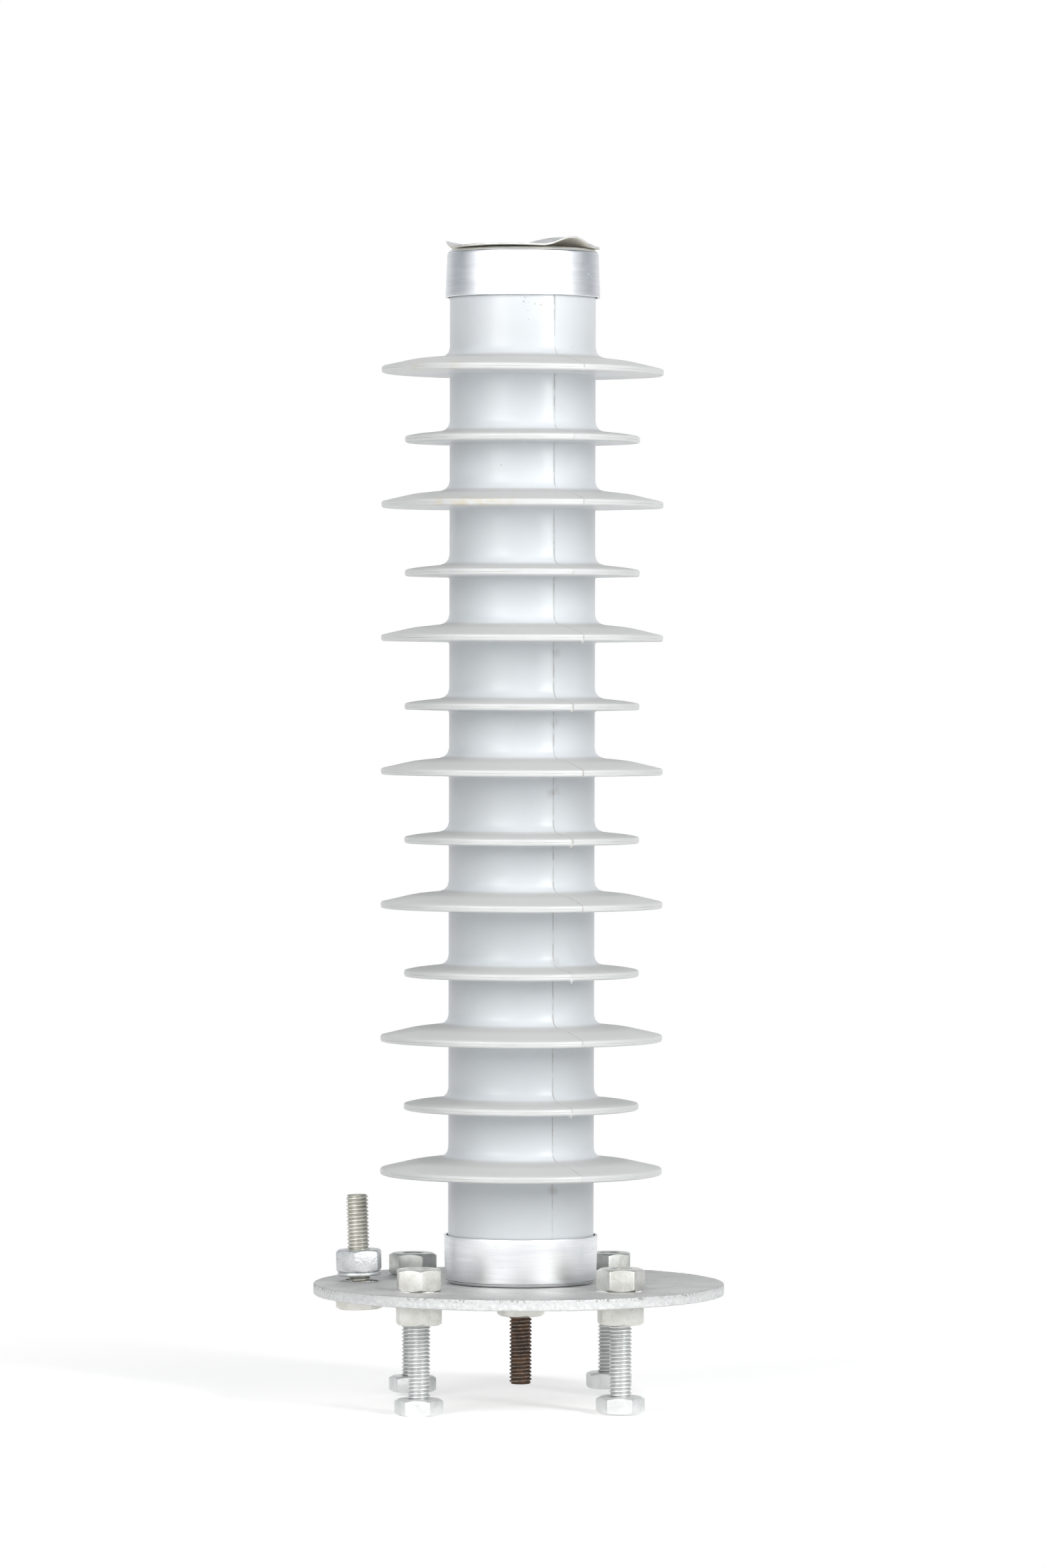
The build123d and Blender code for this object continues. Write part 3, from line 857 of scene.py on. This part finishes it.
spunAluminium = {
    "light": (0.95, 0.955, 0.96), "dark": (0.70, 0.74, 0.775), "speck": (0.97, 0.98, 0.99),
    # the near-black tint on the next line is painted shade for the cup's inner wall
    "innerWallShade": (0.05, 0.05, 0.05), "innerShadeRadius": 31.9, "linesPerMetre": 2600.0, "bandsPerMetre": 420.0,
    "lineShare": 0.35, "blotchShare": 0.2, "roughness": 0.25,
}


def cupFinish(name, streak, flecked):
    look = spunAluminium
    f = Finish(name, {"Metallic": 1.0, "Anisotropic": 0.45})
    lines = f.wrapped(2.0, look["linesPerMetre"])
    bands = f.wrapped(0.8, look["bandsPerMetre"])
    blotch = f.cloud(7, 3)
    shade = f.step(lines, 0.3, 0.75) * look["lineShare"] + f.step(bands, 0.35, 0.7) * streak
    shade = shade + f.step(blotch, 0.5, 0.8) * look["blotchShare"]
    base = f.mix(look["light"], look["dark"], shade)
    # white flecks scattered in the darker blotches
    specks = f.step(f.cells(1.3), 0.16, 0.04) * f.step(blotch, 0.52, 0.66)
    base = f.mix(base, look["speck"], specks * flecked)
    # painted shade: faces within this radius that face sideways, the cup's inner wall, are coloured
    # near-black
    innerWallShade = (f.fromAxis() < look["innerShadeRadius"] * mm) * (abs(f.upward) < 0.5)
    base = f.mix(base, look["innerWallShade"], innerWallShade)
    rough = look["roughness"] + 0.16 * lines + 0.1 * blotch
    normal = f.bump(lines, 0.22, 0.05)
    normal = f.bump(bands, 0.25, 0.10, normal)
    normal = f.bump(specks, 0.6 * flecked, 0.2, normal)
    f.feed(colour=base, roughness=rough, normal=normal)
    return f


# the under tint is painted reflection and shade: the darker tan that faces pointing down take
sheetMetal = {"silver": (0.84, 0.845, 0.84), "dull": (0.64, 0.64, 0.62), "under": (0.70, 0.67, 0.585),
              "underReflectionShadeShare": 0.8, "roughness": 0.38}


def sheetFinish():
    look = sheetMetal
    f = Finish("dull_aluminium_sheet", {"Metallic": 0.85})
    blotch, grain = f.cloud(6, 4), f.cloud(0.8, 2)
    base = f.mix(look["silver"], look["dull"], f.step(blotch, 0.35, 0.7))
    # painted reflection and shade: faces that point down are tinted darker tan
    base = f.mix(base, look["under"], f.step(f.upward * -1, 0.1, 0.7) * look["underReflectionShadeShare"])
    rough = look["roughness"] + 0.25 * blotch
    f.feed(colour=base, roughness=rough, normal=f.bump(blotch + grain * 0.4, 0.35, 0.25))
    return f


zincSizes = {"patch": 6, "stainSize": 3}  # mm, where a look doesn't say its own


def zincFinish(name, look):
    # galvanised or plated steel: tints, the size of its grain, patches and stains in mm, how much of it
    # sparkles or is dirty, how metallic and rough it is, and how lumpy
    look = {**zincSizes, **look}
    f = Finish(name, {})
    crystal = f.cells(look["grain"])
    speckle, blotch = f.cloud(look["grain"] * 0.6, 3), f.cloud(look["patch"], 4)
    base = f.mix(look["light"], look["dark"], f.step(blotch, 0.36, 0.68))
    base = f.mix(base, look["bright"], f.step(speckle, 0.52, 0.66) * look["sparkle"])
    base = f.mix(base, look["stain"], f.step(f.cloud(look["stainSize"], 4), 0.58, 0.72) * look["dirty"])
    metal = look["metal"] - 0.35 * f.step(speckle, 0.5, 0.7)
    rough = look["roughness"] + 0.22 * speckle
    normal = f.bump(speckle, look["lumpy"], 0.16)
    normal = f.bump(crystal, look["lumpy"] * 0.7, 0.22, normal)
    f.feed(colour=base, roughness=rough, metal=metal, normal=normal)
    return f


plateZinc = {"light": (0.60, 0.60, 0.59), "dark": (0.50, 0.50, 0.49), "bright": (0.72, 0.73, 0.73),
             "stain": (0.36, 0.35, 0.32), "grain": 1.6, "patch": 16, "sparkle": 0.35, "dirty": 0.3,
             "metal": 0.55, "roughness": 0.42, "lumpy": 0.35, "stainSize": 5}
plateRim = {"dull": (0.68, 0.695, 0.70), "frosted": (0.82, 0.825, 0.82), "darkSpot": (0.20, 0.20, 0.19),
            "darkSpotShare": 0.8, "darkSpotFrom": 0.0022, "darkSpotTo": 0.0045,  # levels in metres
            "metal": 0.55, "lessMetal": 0.45, "roughness": 0.45, "frostRoughness": 0.2}


def plateFinish():
    look = plateRim
    f = zincFinish("galvanised_plate_steel", plateZinc)
    side = 1 - f.step(abs(f.upward), 0.3, 0.8)
    frost = f.cloud(1.5, 4)
    base = f.mix(look["dull"], look["frosted"], f.step(frost, 0.35, 0.65))
    patchy = f.step(f.cloud(13, 2), 0.42, 0.62)
    high = f.step(f.z, look["darkSpotFrom"], look["darkSpotTo"])
    # dark spots on the pitted band of the edge, below the top face
    darkSpot = f.step(f.cloud(1.5, 4, 0.6), 0.48, 0.58) * high * (0.3 + 0.7 * patchy)
    base = f.mix(base, look["darkSpot"], darkSpot * look["darkSpotShare"])
    rough = look["roughness"] + look["frostRoughness"] * frost
    metal = look["metal"] - look["lessMetal"] * side
    f.feed(colour=f.mix(f.fed("Base Color"), base, side), roughness=rough, metal=metal)
    return f


galvanisedNut = {"light": (0.72, 0.735, 0.735), "dark": (0.55, 0.565, 0.57), "bright": (0.85, 0.87, 0.88),
                 "stain": (0.33, 0.32, 0.29), "grain": 1.0, "sparkle": 0.55, "dirty": 0.2, "metal": 0.8,
                 "roughness": 0.30, "lumpy": 0.38}
creamNut = {"light": (0.78, 0.78, 0.745), "dark": (0.66, 0.655, 0.61), "bright": (0.90, 0.90, 0.87),
            "stain": (0.46, 0.40, 0.30), "grain": 1.2, "sparkle": 0.3, "dirty": 0.3, "metal": 0.78,
            "roughness": 0.26, "lumpy": 0.16, "stainSize": 1.6}
smoothNut = {"light": (0.62, 0.63, 0.60), "dark": (0.50, 0.51, 0.48), "bright": (0.72, 0.73, 0.71),
             "stain": (0.30, 0.30, 0.27), "grain": 2.2, "sparkle": 0.25, "dirty": 0.15, "metal": 0.9,
             "roughness": 0.26, "lumpy": 0.12}
boltZinc = {"light": (0.85, 0.87, 0.86), "dark": (0.74, 0.76, 0.75), "bright": (0.95, 0.96, 0.95),
            "stain": (0.50, 0.51, 0.49), "grain": 0.8, "sparkle": 0.35, "dirty": 0.2, "metal": 0.62,
            "roughness": 0.30, "lumpy": 0.14}
oliveThread = {"light": (0.85, 0.84, 0.79), "dark": (0.72, 0.71, 0.65), "bright": (0.93, 0.925, 0.89),
               "stain": (0.50, 0.47, 0.39), "grain": 0.9, "sparkle": 0.35, "dirty": 0.2, "metal": 0.7,
               "roughness": 0.32, "lumpy": 0.16, "stainSize": 1.8}
beadZinc = {"light": (0.80, 0.81, 0.81), "dark": (0.66, 0.67, 0.67), "bright": (0.92, 0.92, 0.92),
            "stain": (0.35, 0.34, 0.31), "grain": 0.8, "sparkle": 0.5, "dirty": 0.25, "metal": 0.4,
            "roughness": 0.36, "lumpy": 0.6}


def threadFinish(name, look, root):  # as zinc, with the thread roots darkened as painted shade
    f = zincFinish(name, look)
    # painted shade: the root tint darkens the surface away from the thread crests
    crest = f.step(f.attribute("crest"), 0.15, 0.85)
    f.feed(colour=f.mix(root, f.fed("Base Color"), 0.25 + 0.75 * crest))
    return f


rust = {"dark": (0.16, 0.12, 0.095), "brown": (0.27, 0.145, 0.08), "orange": (0.46, 0.20, 0.07),
        "worn": (0.50, 0.44, 0.38), "root": (0.07, 0.05, 0.04), "orangeShare": 0.8, "wornShare": 0.55}


def rustyFinish():
    f = Finish("rusty_stud_steel", {})
    patches, fine = f.cloud(3.2, 4), f.cloud(0.7, 3)
    crest = f.step(f.attribute("crest"), 0.3, 0.95)
    base = f.mix(rust["dark"], rust["brown"], f.step(patches, 0.42, 0.6))
    orange = f.step(patches, 0.60, 0.72) * f.step(fine, 0.4, 0.6)
    base = f.mix(base, rust["orange"], orange * rust["orangeShare"])
    base = f.mix(base, rust["worn"], crest * f.step(fine, 0.35, 0.65) * rust["wornShare"])
    base = f.mix(rust["root"], base, 0.3 + 0.7 * crest)
    metal = 0.5 - 0.4 * f.step(patches, 0.45, 0.6)
    f.feed(colour=base, roughness=0.42 + 0.3 * patches, metal=metal, normal=f.bump(fine, 0.6, 0.12))
    return f


def innerFinish(name, light, dark, size, metal, roughness):  # pieces held inside the housing
    f = Finish(name, {"Metallic": metal})
    cloud = f.cloud(size, 4)
    f.feed(colour=f.mix(light, dark, f.step(cloud, 0.3, 0.7)), roughness=roughness + 0.15 * cloud,
           normal=f.bump(f.cloud(size * 0.3, 2), 0.2, 0.1))
    return f


place(makeHousing(), siliconeFinish(), "silicone_rubber", "housing")
print("housing made")

topCupFinish = cupFinish("spun_aluminium_top", 0.25, 1.0)
bottomCupFinish = cupFinish("spun_aluminium_bottom", 0.22, 0.4)
place(makeCup("top_end_cup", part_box("top_cup")[1].z / mm, -1, 3), topCupFinish, "cup_aluminium", "top_cup")
place(makeCup("bottom_end_cup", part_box("bottom_cup")[0].z / mm, 1, 6), bottomCupFinish, "cup_aluminium",
      "bottom_cup")
place(makeSheet(), sheetFinish(), "sheet_aluminium", "top_sheet")
print("cups and sheet made")

place(makePlate(), plateFinish(), "galvanised_plate", "base_plate")
print("plate made")

zincLooks = {"cream_zinc": creamNut, "smooth_zinc": smoothNut,
             "granular_zinc": galvanisedNut, "bead_zinc": beadZinc}
zinc = {name: zincFinish(name, look) for name, look in zincLooks.items()}
# the last tint of each thread finish is the painted shade of its thread roots
zinc["bolt_zinc"] = threadFinish("bolt_zinc", boltZinc, (0.46, 0.475, 0.47))
zinc["olive_zinc"] = threadFinish("olive_zinc", oliveThread, (0.40, 0.39, 0.33))
for index, solid in enumerate(solidsOf("mounting_bolts")):
    bolt = makeBolt(f"mounting_bolt_{index + 1}", solid, 10 + index)
    place(bolt, zinc["bolt_zinc"], "galvanised_steel", "mounting_bolts")
for index, solid in enumerate(solidsOf("upper_nuts")):
    look = "cream_zinc" if index < 2 else "smooth_zinc"  # the front two are the cream ones
    place(makeNut(f"upper_nut_{index + 1}", solid, 20 + index), zinc[look], "zinc_plated_steel", "upper_nuts")
for index, solid in enumerate(solidsOf("lower_nuts")):
    nut = makeNut(f"lower_nut_{index + 1}", solid, 30 + index)
    place(nut, zinc["cream_zinc"], "zinc_plated_steel", "lower_nuts")
earthBolt, earthNut, earthWasher = makeEarthPieces()
place(earthBolt, zinc["olive_zinc"], "galvanised_steel", "earth_bolt")
place(earthNut, zinc["granular_zinc"], "zinc_plated_steel", "earth_nut")
place(earthWasher, zinc["granular_zinc"], "zinc_plated_steel", "earth_washer")
low, high = [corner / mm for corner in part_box("centre_stud")]
studRod = threadedRod(low.z, high.z, 41, wear=0.05)
stud = makePiece("hanging_stud", [studRod], 34, crests(studRod))
place(stud, rustyFinish(), "rusty_steel", "centre_stud")
studNut = makeNut("stud_nut", solidsOf("centre_nut")[0], 42)
place(studNut, zinc["cream_zinc"], "zinc_plated_steel", "centre_nut")
nutPlaces = [(solid["x"], solid["y"]) for solid in solidsOf("upper_nuts")]
holePlaces = {"front_left": nutPlaces[0], "front_right": nutPlaces[1],
              "earth": (plate["earthHoleX"], plate["earthHoleY"])}
for index, (hole, *form) in enumerate(beads):
    run = makeBead(f"zinc_bead_{index + 1}", *holePlaces[hole], plate["thickness"], *form, 50 + index)
    place(run, zinc["bead_zinc"], "galvanised_plate")
print("fasteners made")

innerLooks = {  # two tints, size of the mottling in mm, how metallic, how rough
    "glass_fibre_tube": ((0.50, 0.54, 0.33), (0.38, 0.42, 0.24), 6, 0.0, 0.35),
    "zinc_oxide": ((0.13, 0.13, 0.14), (0.07, 0.07, 0.08), 1.2, 0.0, 0.6),
    "block_aluminium": ((0.72, 0.73, 0.74), (0.60, 0.61, 0.63), 5, 1.0, 0.3),
    "contact_brass": ((0.75, 0.60, 0.32), (0.62, 0.48, 0.22), 5, 1.0, 0.3),
    "seal_rubber": ((0.045, 0.045, 0.045), (0.025, 0.025, 0.025), 2, 0.0, 0.6),
    "spring_steel": ((0.42, 0.42, 0.43), (0.28, 0.28, 0.29), 3, 1.0, 0.35),
}
innerFinishes = {slotName: innerFinish(slotName, *look) for slotName, look in innerLooks.items()}
slotOf = {part["node"]: part["material_slot"] for part in frame["record"]["subparts"]}
for nodeName, node in cadNodes.items():
    if slotOf[nodeName] in innerFinishes:
        node.data.materials.clear()
        node.data.materials.append(innerFinishes[slotOf[nodeName]].material)
print("inner pieces finished")


studio = {
    "floorSize": 14.0, "floorColour": (0.90, 0.90, 0.90), "floorGlow": 0.45,
    "nearFloor": 0.16, "farFloor": 0.42,  # the floor turns white from here to there, in metres from the axis
    "fill": 0.22, "skyLow": (0.80, 0.82, 0.85), "skyHigh": (1.0, 1.0, 1.0),
    "gloss": 0.95, "glossAhead": (0.98, 0.985, 1.0), "glossBeside": (0.26, 0.29, 0.33),
    "besideFrom": (-0.32, 0.02), "besideTo": (0.5, 0.88),  # how far back the dark sides begin and end
    "lamps": (  # name, azimuth, distance, height, width and tallness in metres, watts, seen in reflections
        ("left_softbox", -36, 1.5, 0.80, 0.80, 1.0, 12.5, True),
        ("right_softbox", 41, 1.5, 0.80, 0.25, 1.0, 16.5, True),
        ("top_softbox", 8, 0.35, 1.75, 1.2, 1.2, 2.2, True),
        ("back_softbox", 180, 2.0, 1.6, 1.4, 1.2, 9, False),
    ),
}
camera = {"lens": 168.4, "sensor": 36, "farClip": 60,
          "spot": (0.0003, -3.121, 0.2671), "pitch": 0.917, "roll": 0.13}
white = (1.0, 1.0, 1.0)


def makeFloor():
    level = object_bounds()[0][2]
    half = studio["floorSize"] / 2
    mesh = bpy.data.meshes.new("studio_floor")
    corners = [(-half, -half, level), (half, -half, level), (half, half, level), (-half, half, level)]
    mesh.from_pydata(corners, [], [(0, 1, 2, 3)])
    floor = addObject("studio_floor", mesh)
    f = Finish("pale_floor", {"Roughness": 0.9, "Specular IOR Level": 0.1})
    f.principled.inputs["Base Color"].default_value = (*studio["floorColour"], 1)
    plain = Wire(f, f.principled.outputs[0])
    seen = f.rays("Camera", "Glossy", "Transmission")
    glow = f.node("Emission", {}, {"Color": (*white, 1), "Strength": studio["floorGlow"]})
    backdrop = f.node("Emission", {}, {"Color": (*white, 1), "Strength": 1.0})
    lit = f.node("AddShader", {}, {"Shader": plain, "Shader_001": glow})
    far = f.step(f.fromAxis(), studio["nearFloor"], studio["farFloor"])
    shown = f.node("MixShader", {}, {"Fac": far, "Shader": lit, "Shader_001": backdrop})
    choice = f.node("MixShader", {}, {"Fac": seen, "Shader": plain, "Shader_001": shown})
    clear = f.node("BsdfTransparent", {}, {})
    below = Wire(f, f.node("NewGeometry", {}, {}).socket.node.outputs["Backfacing"])
    choice = f.node("MixShader", {}, {"Fac": below, "Shader": choice, "Shader_001": clear})
    out = next(n for n in f.tree.nodes if n.type == "OUTPUT_MATERIAL")
    f.tree.links.new(choice.socket, out.inputs["Surface"])
    mesh.materials.append(f.material)


def makeWorld():
    world = bpy.data.worlds.new("studio")
    bpy.context.scene.world = world
    world.use_nodes = True
    w = Shader(world.node_tree)
    world.node_tree.nodes.clear()
    glossy, seen = w.rays("Glossy"), w.rays("Camera", "Transmission")
    way = w.node("TexCoord", {}, {}, 0)
    split = w.node("SeparateXYZ", {}, {"Vector": way}).socket.node
    y, z = [Wire(w, split.outputs[axis]) for axis in ("Y", "Z")]
    beside = w.step(y, *studio["besideFrom"]) * (1 - w.step(y, *studio["besideTo"]))
    glossColour = w.mix(studio["glossAhead"], studio["glossBeside"], beside)
    skyColour = w.mix(studio["skyLow"], studio["skyHigh"], w.step(z, -0.1, 0.9))
    colour = w.mix(w.mix(skyColour, glossColour, glossy), white, seen)
    levels = {"Factor_Float": glossy, "A_Float": studio["fill"], "B_Float": studio["gloss"]}
    levels = {"Factor_Float": seen, "A_Float": w.node("Mix", {}, levels), "B_Float": 1.0}
    strength = w.node("Mix", {}, levels)
    back = w.node("Background", {}, {"Color": colour, "Strength": strength})
    out = world.node_tree.nodes.new("ShaderNodeOutputWorld")
    world.node_tree.links.new(back.socket, out.inputs["Surface"])


def makeLamps():
    aim = (Vector(cadBounds[0]) + Vector(cadBounds[1])) / 2
    for name, azimuth, distance, height, wide, tall, watts, mirrored in studio["lamps"]:
        data = bpy.data.lights.new(name, "AREA")
        data.shape, data.size, data.size_y, data.energy = "RECTANGLE", wide, tall, watts
        lamp = addObject(name, data)
        east, south = direction(azimuth)
        lamp.location = (distance * east, distance * south, height)
        lamp.rotation_euler = (aim - lamp.location).to_track_quat("-Z", "Y").to_euler()
        lamp.visible_glossy = mirrored


def makeCamera():
    data = bpy.data.cameras.new("camera")
    data.lens, data.sensor_width, data.clip_end = camera["lens"], camera["sensor"], camera["farClip"]
    eye = addObject("camera", data)
    eye.location = camera["spot"]
    tilt = Matrix.Rotation(math.radians(90 - camera["pitch"]), 4, "X")
    eye.rotation_euler = (tilt @ Matrix.Rotation(math.radians(camera["roll"]), 4, "Z")).to_euler()
    bpy.context.scene.camera = eye


makeFloor()
makeWorld()
makeLamps()
makeCamera()
bpy.context.scene.view_settings.view_transform = "Standard"
print("studio set up")
